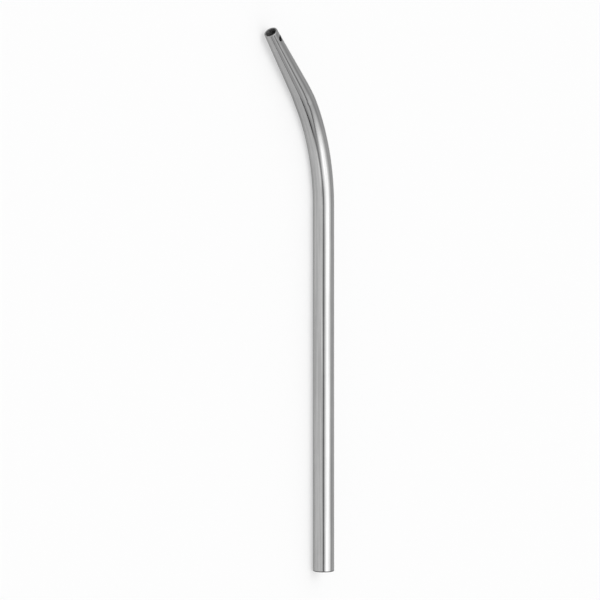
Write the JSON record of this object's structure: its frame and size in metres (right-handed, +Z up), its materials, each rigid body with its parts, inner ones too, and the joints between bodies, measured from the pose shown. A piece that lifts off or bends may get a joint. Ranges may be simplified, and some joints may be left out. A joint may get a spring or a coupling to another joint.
{
  "type": "suction cannula",
  "caption": "Slender steel suction tube with a straight shaft, one bend, a nose that narrows to an open tip, and a small side vent by the tip.",
  "frame": {"origin": "centre of the connector end's face, on the shaft's axis", "axes": "+X along the shaft towards the tip, the bend towards +Y in the XY plane, +Z up on the vent's side, with the tube lying on its side"},
  "size_m": [0.1495, 0.0345, 0.006],
  "materials": {
    "steel": "bright drawn stainless steel, fine lines along the tube"
  },
  "bodies": {
    "root": {"cannula_tube": "steel"}
  },
  "joints": []
}
